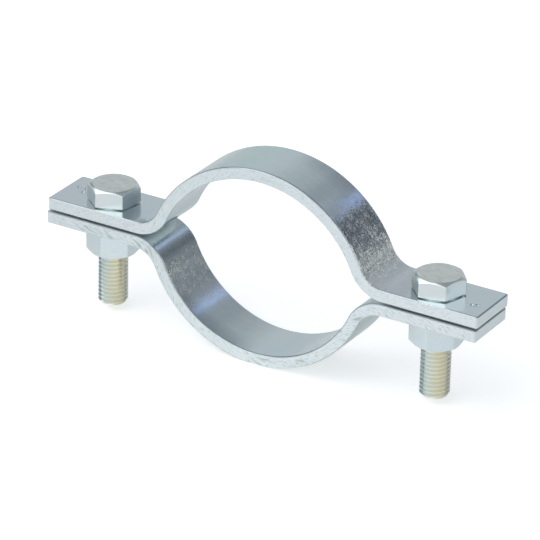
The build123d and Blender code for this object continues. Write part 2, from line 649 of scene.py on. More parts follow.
# %% [markdown]
# ## Plating, and helpers for its nodes
# Everything is bright zinc, and bright zinc is a metal with a very thin clear film that splits light
# into faint blue, green and pink. So each finish is a metal whose colour, roughness and relief change
# over the piece. Nodes work these out. They could be placed by hand in the editor, but a helper that
# places a node and sets or links its inputs makes each finish read as a short recipe.

# %% Place and link a node
def feed(tree, socket, value):
    """Links another node's output to a socket, or sets a plain value on it."""
    if isinstance(value, bpy.types.NodeSocket):
        tree.links.new(value, socket)
    else:
        socket.default_value = value


def add(tree, kind, feeds=None, **settings):
    """A shader node: settings are its own properties, feeds its inputs by name or number."""
    node = tree.nodes.new("ShaderNode" + kind)
    for key, value in settings.items():
        setattr(node, key, value)
    for key, value in (feeds or {}).items():
        feed(tree, node.inputs[key], value)
    return node


def stored_trait(tree, name):
    """A trait of the surface, as stored at its points."""
    return add(tree, "Attribute", attribute_name=name).outputs["Fac"]


print("the finishes can read:", ", ".join(TRAITS))

# %% [markdown]
# ## Groups of nodes, and mixed colours
# Grit, tints and fine lines come up in several finishes, each time at another size or strength. What
# repeats is made once, as a group with named sockets, and placed with its own values. Colours are laid
# over each other by one more helper, because the Mix node keeps sockets of several kinds and only the
# ones for colour are wanted.

# %% Make a group, place it, mix two colours
def new_group(name, inputs, outputs):
    """An empty shader group with named sockets, and the sockets of its two end nodes."""
    tree = bpy.data.node_groups.new(name, "ShaderNodeTree")
    for label, kind, value in inputs:
        socket = tree.interface.new_socket(name=label, in_out="INPUT", socket_type="NodeSocket" + kind)
        if value is not None:
            socket.default_value = value
    for label, kind in outputs:
        tree.interface.new_socket(name=label, in_out="OUTPUT", socket_type="NodeSocket" + kind)
    entry = tree.nodes.new("NodeGroupInput")
    leave = tree.nodes.new("NodeGroupOutput")
    return tree, entry.outputs, leave.inputs


def use_group(tree, group, feeds):
    """Places a group in a material with its own values, and returns its outputs."""
    node = tree.nodes.new("ShaderNodeGroup")
    node.node_tree = group
    for key, value in feeds.items():
        feed(tree, node.inputs[key], value)
    return node.outputs


def colour_mix(tree, factor, first, second, blend="MIX"):
    """A Mix node for colours, returning its colour socket.

    MIX is first x (1 - factor) + second x factor. MULTIPLY has first x second in place of second.
    """
    node = add(tree, "Mix", data_type="RGBA", blend_type=blend)
    number = [socket for socket in node.inputs if socket.type == "VALUE"][0]
    colours = [socket for socket in node.inputs if socket.type == "RGBA"]
    for socket, value in zip([number] + colours, (factor, first, second)):
        feed(tree, socket, value)
    return [socket for socket in node.outputs if socket.type == "RGBA"][0]


print("made the helpers for groups and for mixed colours")

# %% [markdown]
# ## The drifting tint of the film
# The clear film on zinc is thinner than a wavelength of light, and where its thickness drifts, the
# metal looks faintly blue, green or pink. Slow noise picks the tint and a colour ramp holds the three.
# The straps, heads and nuts all need it, each at its own size and strength, so it is the first group.

# %% Group: the drifting tint of the film
BLUE_FILM = (0.88, 0.95, 1.0, 1)
GREEN_FILM = (0.93, 1.0, 0.97, 1)
PINK_FILM = (0.98, 0.97, 0.96, 1)


def film_tint_group():
    """Colour times a tint that drifts between blue, green and pink, as slow noise picks them."""
    inputs = [
        ("Place", "Vector", None),
        ("Colour", "Color", None),
        ("Amount", "Float", 0.5),
        ("Size", "Float", 25.0),
    ]
    tree, entry, leave = new_group("film_tint", inputs, [("Colour", "Color")])
    drift = add(tree, "TexNoise", {"Vector": entry["Place"], "Scale": entry["Size"], "Detail": 2.0})
    tints = add(tree, "ValToRGB", {"Fac": drift.outputs["Fac"]})
    ramp = tints.color_ramp
    ramp.elements[0].position = 0.3
    ramp.elements[0].color = BLUE_FILM
    ramp.elements[1].position = 0.7
    ramp.elements[1].color = PINK_FILM
    ramp.elements.new(0.5).color = GREEN_FILM
    mixed = colour_mix(tree, entry["Amount"], entry["Colour"], tints.outputs["Color"], "MULTIPLY")
    tree.links.new(mixed, leave["Colour"])
    return tree


film_tint = film_tint_group()
print("group:", film_tint.name)

# %% [markdown]
# ## Plated grit
# Zinc grows on steel in tiny grains and follows every unevenness under it. Fine noise stands for the
# grains and coarser noise for the steel. The group gives a height for the relief, and a mask of the
# grains, which a finish can use to change colour and roughness at the very same places. Every finish
# has its own sizes of grain, in cells per metre.

# %% Group: plated grit
COARSE_SHARE = 0.35
GRAIN_FROM = 0.42
GRAIN_FULL = 0.60


def grit_group():
    """Height: fine noise plus a share of coarse noise. Mask: where the fine noise is high."""
    inputs = [("Place", "Vector", None), ("Grain Size", "Float", 1400.0), ("Coarse Size", "Float", 260.0)]
    tree, entry, leave = new_group("plated_grit", inputs, [("Height", "Float"), ("Mask", "Float")])
    grains = {"Vector": entry["Place"], "Scale": entry["Grain Size"], "Detail": 2.0}
    fine = add(tree, "TexNoise", grains).outputs["Fac"]
    steel = {"Vector": entry["Place"], "Scale": entry["Coarse Size"], "Detail": 1.0}
    coarse = add(tree, "TexNoise", steel).outputs["Fac"]
    height = add(tree, "Math", {0: coarse, 1: COARSE_SHARE, 2: fine}, operation="MULTIPLY_ADD")
    mask = add(tree, "MapRange", {"Value": fine, "From Min": GRAIN_FROM, "From Max": GRAIN_FULL})
    tree.links.new(height.outputs[0], leave["Height"])
    tree.links.new(mask.outputs[0], leave["Mask"])
    return tree


plated_grit = grit_group()
print("group:", plated_grit.name)

# %% [markdown]
# ## Wipe lines
# The tops of forged heads carry fine parallel lines from the tools and from wiping. They come from
# noise that is squeezed hard across the lines and little along them. A Wave texture would give lines
# that are too even.

# %% Group: wipe lines
WIPE_SQUEEZE = (60.0, 2600.0, 2600.0)


def wipe_group():
    """Thin lines along X of the turned place: noise squeezed hard across them, then sharpened."""
    inputs = [("Place", "Vector", None), ("Turn", "Vector", (0.0, 0.0, 0.0)), ("Fineness", "Float", 1.0)]
    tree, entry, leave = new_group("wipe_lines", inputs, [("Lines", "Float")])
    turning = {"Vector": entry["Place"], "Rotation": entry["Turn"]}
    rotated = add(tree, "VectorRotate", turning, rotation_type="EULER_XYZ")
    squeezed = add(tree, "VectorMath", {0: rotated.outputs[0], 1: WIPE_SQUEEZE}, operation="MULTIPLY")
    streaks = {"Vector": squeezed.outputs[0], "Scale": entry["Fineness"], "Detail": 2.0}
    lines = add(tree, "TexNoise", streaks).outputs["Fac"]
    sharp = add(tree, "MapRange", {"Value": lines, "From Min": 0.4, "From Max": 0.7})
    tree.links.new(sharp.outputs[0], leave["Lines"])
    return tree


wipe_lines = wipe_group()
print("group:", wipe_lines.name)

# %% [markdown]
# ## Tear lines
# Between the larger nicks of a sheared edge there are finer tears, too small for the mesh. They lean
# much the same way, waver a little and break off, so they are the crests of squeezed noise on a place
# that a second noise has shifted.

# %% Group: fine tear lines
TEAR_SQUEEZE = (420.0, 3000.0, 1.0)
TEAR_SHIFT = (0.0006, 0.0006, 0.0)


def tear_lines_group():
    """Short lines that lean over the given place and waver a little: the crests of stretched noise."""
    inputs = [("Place", "Vector", None), ("Turn", "Vector", (0.0, 0.0, 0.0))]
    tree, entry, leave = new_group("tear_lines", inputs, [("Lines", "Float")])
    waver = add(tree, "TexNoise", {"Vector": entry["Place"], "Scale": 300.0, "Detail": 1.0})
    shift = {0: waver.outputs["Color"], 1: TEAR_SHIFT, 2: entry["Place"]}
    moved = add(tree, "VectorMath", shift, operation="MULTIPLY_ADD")
    turning = {"Vector": moved.outputs[0], "Rotation": entry["Turn"]}
    rotated = add(tree, "VectorRotate", turning, rotation_type="EULER_XYZ")
    squeezed = add(tree, "VectorMath", {0: rotated.outputs[0], 1: TEAR_SQUEEZE}, operation="MULTIPLY")
    noise = add(tree, "TexNoise", {"Vector": squeezed.outputs[0], "Scale": 1.0, "Detail": 3.0})
    crests = add(tree, "MapRange", {"Value": noise.outputs["Fac"], "From Min": 0.55, "From Max": 0.63})
    tree.links.new(crests.outputs[0], leave["Lines"])
    return tree


tear_lines = tear_lines_group()
print("groups so far:", [group.name for group in bpy.data.node_groups])

# %% [markdown]
# ## A metal that the groups drive
# All five finishes start from the same plain metal and end in the same way: a colour, a roughness and a
# relief go into the one surface shader. The relief is a row of Bump nodes with their heights in metres,
# so the depth of a grain can be compared with the real one.

# %% The plain metal and its relief
def new_finish(name, metallic=1.0):
    """A plain metal: its node tree, its surface shader and the place of each point on the piece."""
    finish = bpy.data.materials.new(name)
    finish.use_nodes = True
    tree = finish.node_tree
    surface = tree.nodes["Principled BSDF"]
    surface.inputs["Metallic"].default_value = metallic
    place = tree.nodes.new("ShaderNodeTexCoord").outputs["Object"]
    return finish, tree, surface, place


def relief(tree, surface, layers):
    """Bump nodes in a row, one for each pair of a height socket and its depth in metres."""
    normal = None
    for height, depth in layers:
        bump = add(tree, "Bump", {"Height": height, "Distance": depth, "Strength": 1.0})
        if normal is not None:
            tree.links.new(normal, bump.inputs["Normal"])
        normal = bump.outputs["Normal"]
    tree.links.new(normal, surface.inputs["Normal"])


def settle(finish, surface, colour, rough, layers):
    """Links a finish's colour, roughness and relief to its surface, and says that it is done."""
    tree = finish.node_tree
    tree.links.new(colour, surface.inputs["Base Color"])
    tree.links.new(rough, surface.inputs["Roughness"])
    relief(tree, surface, layers)
    print("finish:", finish.name, "with", len(tree.nodes), "nodes")
    return finish

# %% [markdown]
# ## The finish of the rolled faces
# The broad faces of the bar are as the rolls left them: smooth and satin, with faint streaks along the
# bar and grit on the bends. Painted shade lays a grey over some places, such as the rolled rounding
# and the inner faces near the ears. The streaks read the straight bar, so they follow the bends. The
# specks come in clumps and stand a little proud. They are paler and rougher than the metal between
# them, which is what makes a bend glitter where its reflection is dark.

# %% Finish of the rolled faces
STREAK_DARK = (0.76, 0.82, 0.84, 1)
STREAK_PALE = (0.83, 0.88, 0.89, 1)
STREAK_SQUEEZE = (40.0, 420.0, 1.0)
GREEN_TINT = (0.92, 1.0, 0.96, 1)
# Grey of the painted shade laid over the rolled faces
PAINTED_SHADE_GREY = (0.28, 0.295, 0.34, 1)
SPECK = (0.90, 0.90, 0.84, 1)
ROLLED_ROUGH = 0.18
MATT_ROUGH = 0.22


def rolled_zinc_finish():
    """Pale blue satin zinc over the grit of hot-rolled bar, with faint streaks along the bar.

    The roughness is that of the plain face, plus a share for matt, plus what the grains add.
    """
    finish, tree, surface, place = new_finish("rolled_zinc")
    grit = use_group(tree, plated_grit, {"Place": place, "Grain Size": 1450.0, "Coarse Size": 300.0})
    straight = add(tree, "UVMap", uv_map="straight").outputs["UV"]
    stretched = add(tree, "VectorMath", {0: straight, 1: STREAK_SQUEEZE}, operation="MULTIPLY")
    streaks = add(tree, "TexNoise", {"Vector": stretched.outputs[0], "Scale": 1.0, "Detail": 3.0})
    base = colour_mix(tree, streaks.outputs["Fac"], STREAK_DARK, STREAK_PALE)
    tinted = use_group(tree, film_tint, {"Place": place, "Colour": base, "Amount": 0.5, "Size": 28.0})
    greened = colour_mix(tree, stored_trait(tree, "green"), tinted["Colour"], GREEN_TINT, "MULTIPLY")
    # Painted shade: the grey is laid over the colour as far as the trait of the points says
    shaded = colour_mix(tree, stored_trait(tree, "dull_and_shade"), greened, PAINTED_SHADE_GREY)

    clumps = add(tree, "TexNoise", {"Vector": place, "Scale": 330.0, "Detail": 1.0})
    spread = {"Value": clumps.outputs["Fac"], "From Min": 0.3, "From Max": 0.7, "To Max": 1.6}
    patchy = add(tree, "MapRange", spread).outputs[0]
    evenly = stored_trait(tree, "grit")
    amount = add(tree, "Math", {0: evenly, 1: patchy}, operation="MULTIPLY").outputs[0]
    specks = add(tree, "Math", {0: grit["Mask"], 1: amount}, operation="MULTIPLY").outputs[0]
    speckled = colour_mix(tree, specks, shaded, SPECK)

    swing = add(tree, "MapRange", {"Value": grit["Mask"], "To Min": -0.08, "To Max": 0.24}).outputs[0]
    wear = {0: stored_trait(tree, "matt"), 1: MATT_ROUGH, 2: ROLLED_ROUGH}
    worn = add(tree, "Math", wear, operation="MULTIPLY_ADD").outputs[0]
    rough = add(tree, "Math", {0: swing, 1: amount, 2: worn}, operation="MULTIPLY_ADD").outputs[0]
    height = add(tree, "Math", {0: grit["Height"], 1: amount}, operation="MULTIPLY").outputs[0]
    return settle(finish, surface, speckled, rough, [(height, 0.00009)])


rolled_zinc = rolled_zinc_finish()

# %% [markdown]
# ## The finish of the cut edges
# The sheared edge is the brightest part of the clamp. It is too rough to mirror the room, so it gathers
# light from all round and looks nearly white. Grey-green stands in the nicks, where the plating is
# thin. The nicks come with the mesh, in the same trait as the painted shade of the rolled rounding,
# and the finer tear lines are drawn here, as deep as grit says.

# %% Finish of the cut edges
CUT_BRIGHT = (0.875, 0.917, 0.935, 1)
TEAR_GREY = (0.52, 0.57, 0.55, 1)
NICK_GREY = (0.34, 0.39, 0.37, 1)


def cut_zinc_finish():
    """Bright matt zinc on sheared steel, with dull green-grey in the nicks and the finer tears."""
    finish, tree, surface, place = new_finish("cut_zinc")
    grit = use_group(tree, plated_grit, {"Place": place, "Grain Size": 1700.0, "Coarse Size": 500.0})
    straight = add(tree, "UVMap", uv_map="straight").outputs["UV"]
    lines = use_group(tree, tear_lines, {"Place": straight, "Turn": (0.0, 0.0, -0.45)})["Lines"]
    hairs = add(tree, "Math", {0: lines, 1: stored_trait(tree, "grit")}, operation="MULTIPLY").outputs[0]
    lined = colour_mix(tree, hairs, CUT_BRIGHT, TEAR_GREY)
    tinted = use_group(tree, film_tint, {"Place": place, "Colour": lined, "Amount": 0.3, "Size": 40.0})
    # The trait greys the nicks, where the plating is thin, and gives the rolled side of the wall a little
    # painted shade
    shaded = colour_mix(tree, stored_trait(tree, "dull_and_shade"), tinted["Colour"], NICK_GREY)
    rough = add(tree, "MapRange", {"Value": grit["Mask"], "To Min": 0.42, "To Max": 0.55}).outputs[0]
    return settle(finish, surface, shaded, rough, [(grit["Height"], 0.00003), (hairs, -0.00006)])


cut_zinc = cut_zinc_finish()

# %% [markdown]
# ## The finish of the bolt heads
# A head is forged smooth and its film is thick, so its top looks warm, with fine wipe lines and a few
# smudges. The flats are paler and rougher, because the spanner has scuffed them. The mesh says where
# the flats are: it gives them the trait matt.

# %% Finish of the bolt heads
HEAD_WARM = (0.88, 0.90, 0.86, 1)
WIPE_LINE = (0.83, 0.84, 0.79, 1)
SMUDGE = (0.79, 0.79, 0.71, 1)
SCUFFED_PALE = (0.87, 0.90, 0.90, 1)
SCUFFED_ROUGH = 0.09


def head_zinc_finish():
    """Smooth forged heads: warm zinc with fine wipe lines and smudges, paler and rougher on the flats."""
    finish, tree, surface, place = new_finish("head_zinc")
    grit = use_group(tree, plated_grit, {"Place": place, "Grain Size": 900.0, "Coarse Size": 200.0})
    wipes = {"Place": place, "Turn": (0.0, 0.0, 0.55), "Fineness": 1.0}
    lines = use_group(tree, wipe_lines, wipes)["Lines"]
    base = colour_mix(tree, lines, HEAD_WARM, WIPE_LINE)
    smudge = add(tree, "TexNoise", {"Vector": place, "Scale": 330.0, "Detail": 3.0}).outputs["Fac"]
    smudged = add(tree, "MapRange", {"Value": smudge, "From Min": 0.42, "From Max": 0.68}).outputs[0]
    warm = colour_mix(tree, smudged, base, SMUDGE)
    scuffed = stored_trait(tree, "matt")
    pale = colour_mix(tree, scuffed, warm, SCUFFED_PALE)
    tinted = use_group(tree, film_tint, {"Place": place, "Colour": pale, "Amount": 0.3, "Size": 60.0})
    fine = add(tree, "MapRange", {"Value": lines, "To Min": 0.19, "To Max": 0.28}).outputs[0]
    scuffs = {0: scuffed, 1: SCUFFED_ROUGH, 2: fine}
    rough = add(tree, "Math", scuffs, operation="MULTIPLY_ADD").outputs[0]
    layers = [(grit["Height"], 0.00001), (lines, 0.000002)]
    return settle(finish, surface, tinted["Colour"], rough, layers)


head_zinc = head_zinc_finish()

# %% [markdown]
# ## The finish of the threads
# A rolled thread is burnished by the rollers, so it is the smoothest part. Plating liquid drains down
# one side of a hanging bolt, and there the film is thick and yellow. So the colour follows a direction
# across the bolt, measured from the bolt's own axis, and slow noise makes its border wavy.

# %% Finish of the threads
THIN_FILM = (0.79, 0.86, 0.84, 1)
THICK_FILM = (0.87, 0.84, 0.69, 1)
DRAIN_SIDE = (0.857, 0.515, 0.0)
DRAIN_WAVE = 0.005


def thread_zinc_finish():
    """Rolled threads, where the film ran thick and yellow down one side and stayed thin on the other."""
    finish, tree, surface, place = new_finish("thread_zinc")
    grit = use_group(tree, plated_grit, {"Place": place, "Grain Size": 1500.0, "Coarse Size": 300.0})
    across = add(tree, "UVMap", uv_map="straight").outputs["UV"]
    side = add(tree, "VectorMath", {0: across, 1: DRAIN_SIDE}, operation="DOT_PRODUCT").outputs["Value"]
    drift = add(tree, "TexNoise", {"Vector": place, "Scale": 220.0, "Detail": 2.0}).outputs["Fac"]
    film = add(tree, "Math", {0: drift, 1: DRAIN_WAVE, 2: side}, operation="MULTIPLY_ADD").outputs[0]
    thick = add(tree, "MapRange", {"Value": film, "From Min": -0.0022, "From Max": 0.0032}).outputs[0]
    base = colour_mix(tree, thick, THIN_FILM, THICK_FILM)
    rough = add(tree, "MapRange", {"Value": grit["Mask"], "To Min": 0.13, "To Max": 0.22}).outputs[0]
    return settle(finish, surface, base, rough, [(grit["Height"], 0.00001)])


thread_zinc = thread_zinc_finish()

# %% [markdown]
# ## The finish of the nuts
# The nuts come from another batch: cold formed, then plated in a tumbling barrel. That leaves them an
# even pale blue satin with a fine grain all over, so their finish is the simplest of the five.

# %% Finish of the nuts
NUT_BLUE = (0.82, 0.88, 0.91, 1)
NUT_GRAIN = (0.86, 0.91, 0.93, 1)


def nut_zinc_finish():
    """Pale blue satin nuts with a fine even grain."""
    finish, tree, surface, place = new_finish("nut_zinc")
    grit = use_group(tree, plated_grit, {"Place": place, "Grain Size": 1200.0, "Coarse Size": 260.0})
    base = colour_mix(tree, grit["Mask"], NUT_BLUE, NUT_GRAIN)
    tinted = use_group(tree, film_tint, {"Place": place, "Colour": base, "Amount": 0.5, "Size": 50.0})
    rough = add(tree, "MapRange", {"Value": grit["Mask"], "To Min": 0.28, "To Max": 0.38}).outputs[0]
    return settle(finish, surface, tinted["Colour"], rough, [(grit["Height"], 0.000008)])


nut_zinc = nut_zinc_finish()

# %% [markdown]
# ## The upper strap
# Where the grit, the green and the painted shade lie on this bar is taken from the real thing: grit
# grows along the right half and is strongest on the right bend, and the crown is greenish on the left.
# The inner faces between the ears are rough, because no tool reaches there, and painted shade darkens
# them near the ears. More painted shade lies on the right of the crown, on the ear beside the right
# head and on the inner face on the left. A Weight Paint would do the same by hand, but rows of numbers
# can be read, checked and changed.

# %% Build the upper strap
# Sets in beyond the front edge, which lies at -12.5 mm, and so covers the whole width
everywhere = (-20, -15)
outer = ("outer",)
inner = ("inner",)
both = ("outer", "inner")
punch_dots = {
    "left": [(-18.4 * MM, 2.5 * MM), (-15.1 * MM, 2.6 * MM), (-14.5 * MM, -0.6 * MM)],
    "right": [(10.0 * MM, 1.0 * MM), (16.2 * MM, -3.9 * MM), (18.1 * MM, -3.1 * MM)],
}
grit_to_ear = [(0, 28, 35, 42, 52, 62, 67, 76), (0.15, 0.15, 0.45, 0.75, 1.4, 1.6, 0.6, 0.15)]
between_ears = [
    ("matt", inner, everywhere, (-76, -69, -65, -62.5), (2.0, 1.6, 0.8, 0.0)),
    ("matt", inner, everywhere, (62.5, 65, 69, 76), (0.0, 0.8, 1.6, 2.0)),
    # Painted shade on the inner faces near the ears, where they face each other across the gap
    ("dull_and_shade", inner, everywhere, (-74, -69, 69, 74), (0.4, 0.0, 0.0, 0.4)),
]
upper_skin = between_ears + [
    ("grit", both, everywhere, *grit_to_ear),
    ("matt", both, everywhere, (50, 58, 66, 72), (0.0, 1.0, 1.0, 0.0)),
    ("matt", both, (4, -9), (24, 29, 32, 36), (0.0, 0.7, 0.7, 0.0)),
    # The dull rows below are painted shade: a grey laid over the colour
    ("dull_and_shade", both, (0, 12), (4, 14, 32, 44), (0.0, 0.35, 0.35, 0.0)),
    ("dull_and_shade", outer, everywhere, (27, 32, 41, 44), (0.0, 0.35, 0.35, 0.0)),
    ("dull_and_shade", outer, everywhere, (68, 73, 78, 84), (0.0, 0.3, 0.3, 0.0)),
    ("dull_and_shade", inner, everywhere, (-62, -56, -46, -41), (0.0, 0.3, 0.3, 0.0)),
    ("green", both, everywhere, (-30, -20, -10, 4), (0.0, 1.0, 1.0, 0.0)),
    ("green", inner, everywhere, (-62, -56, -46, -41), (0.0, 0.5, 0.5, 0.0)),
]
upper_grids = strap_patches(fine_tears, (punch_dots["left"], punch_dots["right"]), upper_skin, 1)
upper_bar = build_piece("upper_bar", upper_grids, [rolled_zinc, cut_zinc])
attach(upper_bar, "upper_half")
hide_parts("upper_strap")

# %% [markdown]
# ## The lower strap
# The lower half is the same bent bar, turned over and slipped a little to the left, as far as the play
# in the bolt holes lets it. It was sheared with a blunter blade: its nicks are longer and deeper, and
# the rolled rounding lies on the other side. It has no dots. Its own skin is gritty and matt on the
# left bend and greenish on the right, and painted shade darkens it near the front edge, on the right
# and on the left bend.

# %% Build the lower strap
lower_grit = [(-76, -62, -57, -52, -42, -37, -28), (0.12, 0.1, 0.2, 0.55, 0.55, 0.2, 0.12)]
lower_skin = between_ears + [
    ("grit", both, everywhere, *lower_grit),
    ("matt", both, everywhere, (-56, -50, -39, -30), (0.0, 0.75, 0.75, 0.0)),
    ("matt", both, everywhere, (-63, -61, -59, -57), (0.0, 0.3, 0.3, 0.0)),
    # The dull rows below are painted shade: a grey laid over the colour
    ("dull_and_shade", both, everywhere, (-74, -70, -65, -62), (0.0, 0.22, 0.22, 0.0)),
    ("dull_and_shade", outer, everywhere, (18, 28, 60, 70), (0.0, 0.4, 0.4, 0.0)),
    ("dull_and_shade", inner, everywhere, (14, 22, 30, 35), (0.0, 0.15, 0.15, 0.0)),
    ("dull_and_shade", inner, everywhere, (-58, -52, -40, -35), (0.0, 0.2, 0.2, 0.0)),
    ("dull_and_shade", both, (-2, -12), (-52, -40, -12, 0), (0.0, 0.5, 0.4, 0.0)),
    ("green", both, everywhere, (20, 36, 62, 72), (0.2, 1.0, 1.0, 0.0)),
]
lower_grids = strap_patches(coarse_tears, ((), ()), lower_skin, -1)
lower_bar = build_piece("lower_bar", lower_grids, [rolled_zinc, cut_zinc])
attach(lower_bar, "lower_half")
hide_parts("lower_strap")

# %% [markdown]
# ## Hexagons
# Heads and nuts are six-sided, and their corners are turned off. Each becomes a grid whose columns go
# once round the axis. A cylinder with six sides would be quicker, but it has no rounded corners, and no
# points for the curve that the turning leaves on each flat. So the columns are spaced: close together
# round the corners, where the radius follows a small circle, and further apart on the flats.

# %% Columns round a hexagon
HEX_ROUND = 0.5 * MM
BESIDE_CORNER = 1.8
FLAT_COLUMNS = 6
half_side = math.radians(30)
apothem = across_flats / 2
round_centre = (apothem - HEX_ROUND) / math.cos(half_side)
touch_out = round_centre + HEX_ROUND * math.cos(half_side)
touch = math.degrees(math.atan2(HEX_ROUND * math.sin(half_side), touch_out))


def hexagon_columns(turn):
    """Angles round the axis, closed by one more turn, and the hexagon's radius at each.

    Near a corner the radius follows a small circle, d cos a + sqrt(p^2 - d^2 sin^2 a), and on the
    flat it is the apothem over the cosine of the angle from the flat's middle.
    """
    on_flat = np.linspace(BESIDE_CORNER * touch, 30, FLAT_COLUMNS)
    half = np.concatenate([[0, 0.5 * touch, touch], on_flat])
    sixth = np.concatenate([half, 60 - half[::-1][1:-1]])
    all_round = np.concatenate([sixth + 60 * k for k in range(6)] + [[360.0]])
    from_corner = np.radians((all_round + 30) % 60 - 30)
    aside = round_centre * np.sin(from_corner)
    rounded = round_centre * np.cos(from_corner) + np.sqrt(np.maximum(HEX_ROUND**2 - aside**2, 0))
    straight = apothem / np.cos(half_side - np.abs(from_corner))
    near_corner = np.abs(from_corner) <= math.radians(touch) + 1e-9
    return np.radians(all_round + turn), np.where(near_corner, rounded, straight)


print("columns round a hexagon:", len(hexagon_columns(0)[0]))

# %% [markdown]
# ## Turned profiles
# On a lathe a profile is cut all round the work. Here it is a list of corners, each a radius and a
# height, softened like every edge and carried round the axis. Where a corner lies on the hexagon, its
# radius differs from column to column. So the cone that turns the six corners off needs no extra work:
# where it meets a flat, cut at 30 degrees, the flat gets its curved edge by itself.

# %% Profiles carried round an axis
CONE_SLOPE = math.tan(math.radians(30))


def turned(profile, angles, centre_x, finish):
    """Carries a profile of (radius, height) rows round the axis at centre_x: a patch of points.

    A point lies at radius x cosine and radius x sine of its column's angle. Its flat place is X and Y
    measured from the axis.
    """
    radius = profile[..., 0]
    x = centre_x + radius * np.cos(angles)
    y = radius * np.sin(angles)
    z = profile[..., 1] + 0 * angles
    points = np.stack([x, y, z], axis=-1)
    return patch(points, points[..., :2] - [centre_x, 0], finish)


def profile_rows(corners, cuts, columns):
    """Rows of a profile whose corners are (radius, height) pairs, each a number or one per column."""
    level = np.zeros(columns)
    rows = [np.stack([radius + level, height + level], axis=-1) for radius, height in corners]
    return soften(np.array(rows), cuts)


cone_depth = CONE_SLOPE * (hexagon_columns(0)[1].max() - turned_radius)
print("the cone reaches", round(cone_depth / MM, 2), "mm down at a corner")

# %% [markdown]
# ## Threads
# A thread is one ridge that climbs by 1.75 mm with each turn. A screw modifier can wind one, but bolt
# and nut must fit each other and their ends must be closed. So the grid's rows climb instead: row by
# row the height is (own height + pitch x angle / full turn), and each row stays on the crest or in the
# root all the way. After a full turn the rows meet the ones a pitch above, and the weld closes the
# seam. Bolt and nut count height from the same zero, so their threads fit at rest, and the joint turns
# the bolt by a full turn for each pitch that it climbs.

# %% The thread grid
PITCH_SHARES = np.array([0.0625, 0.18, 0.30, 0.4167, 0.5, 0.5833, 0.70, 0.82, 0.9375])
CREST_HALF = 0.0625
ROOT_FROM = 0.4167
thread_root = bolt_radius - 1.07 * MM


def thread_surface(angles, low, high):
    """Radius and height of the ridge between two heights, rows climbing with the angle.

    The radius falls evenly from the crest to the root, as the share of the pitch from the crest goes
    from CREST_HALF to ROOT_FROM.
    """
    lift = thread_pitch * angles / (2 * math.pi)
    first = math.floor((low - lift.max()) / thread_pitch)
    last = math.ceil((high - lift.min()) / thread_pitch)
    share = (np.arange(first, last)[:, None] + PITCH_SHARES).ravel()
    from_crest = np.abs((share + 0.5) % 1 - 0.5)
    slope = np.clip((from_crest - CREST_HALF) / (ROOT_FROM - CREST_HALF), 0, 1)
    ridge = bolt_radius - (bolt_radius - thread_root) * slope
    height = np.clip(share[:, None] * thread_pitch + lift, low, high)
    return ridge[:, None] + 0 * lift, height


print("thread:", len(PITCH_SHARES), "rows to a pitch of", thread_pitch / MM, "mm")

# %% [markdown]
# ## Bolts
# The head is forged, with a thin turned collar under it, and the shank is threaded right up to it. The
# tip is cut to a short cone, so that the nut starts easily. Head, thread and end face are three grids
# with the same columns, so they share the points where they meet and weld into one closed bolt.

# %% Build the bolts
TIP_RADIUS = 4.9 * MM
HEX_CUT = 0.22 * MM
COLLAR_CUT = 0.12 * MM
TIP_CUT = 0.1 * MM


def bolt_patches(side, centre_x):
    """Head with its collar, thread and end face of one bolt, as grids that share their seams.

    The thread's radius is held under the cone of the tip, and runs out to the full shank at the ear.
    """
    angles, hexagon = hexagon_columns(head_turn[side])
    columns = len(angles)
    top = ear_top + head_height
    collar_top = ear_top + collar_height
    corners = [
        (0.0, top),
        (turned_radius, top),
        (hexagon, top - CONE_SLOPE * (hexagon - turned_radius)),
        (hexagon, collar_top),
        (turned_radius, collar_top),
        (turned_radius, ear_top),
        (bolt_radius, ear_top),
    ]
    head = profile_rows(corners, [HEX_CUT] * 3 + [COLLAR_CUT] * 2, columns)

    tip = ear_top - bolt_length
    ridge, height = thread_surface(angles, tip, ear_top)
    ridge = np.minimum(ridge, TIP_RADIUS + (height - tip))
    run_out = ease(ear_top - height, 0.1 * MM, 1.2 * MM)
    ridge = bolt_radius - (bolt_radius - ridge) * run_out
    thread = np.stack([ridge, height], axis=-1)
    end_face = profile_rows([(TIP_RADIUS, tip), (0.5 * TIP_RADIUS, tip), (0.0, tip)], [TIP_CUT], columns)

    head_grid = turned(head, angles, centre_x, 0)
    head_grid["matt"] = head_grid["matt"] + ease(top - head[..., 1], 0.1 * MM, 0.4 * MM)
    return [head_grid, turned(thread, angles, centre_x, 1), turned(end_face, angles, centre_x, 1)]


bolt_place = {"left": -bolt_spacing / 2, "right": bolt_spacing / 2}
for side, centre_x in bolt_place.items():
    hex_bolt = build_piece(side + "_hex_bolt", bolt_patches(side, centre_x), [head_zinc, thread_zinc], 50)
    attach(hex_bolt, side + "_bolt")
    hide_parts(side + "_bolt")

# %% [markdown]
# ## Nuts
# A nut is the same hexagon, turned off at both faces and threaded inside. The hole is countersunk, so
# its first thread starts a little way in. Its thread is the bolt's own grid, moved out by a small play
# and bored to 10.2 mm, so nothing has to be cut out of it.

# %% Build the nuts
SINK_RADIUS = 6.65 * MM
NUT_PLAY = 0.08 * MM
nut_minor = 5.1 * MM


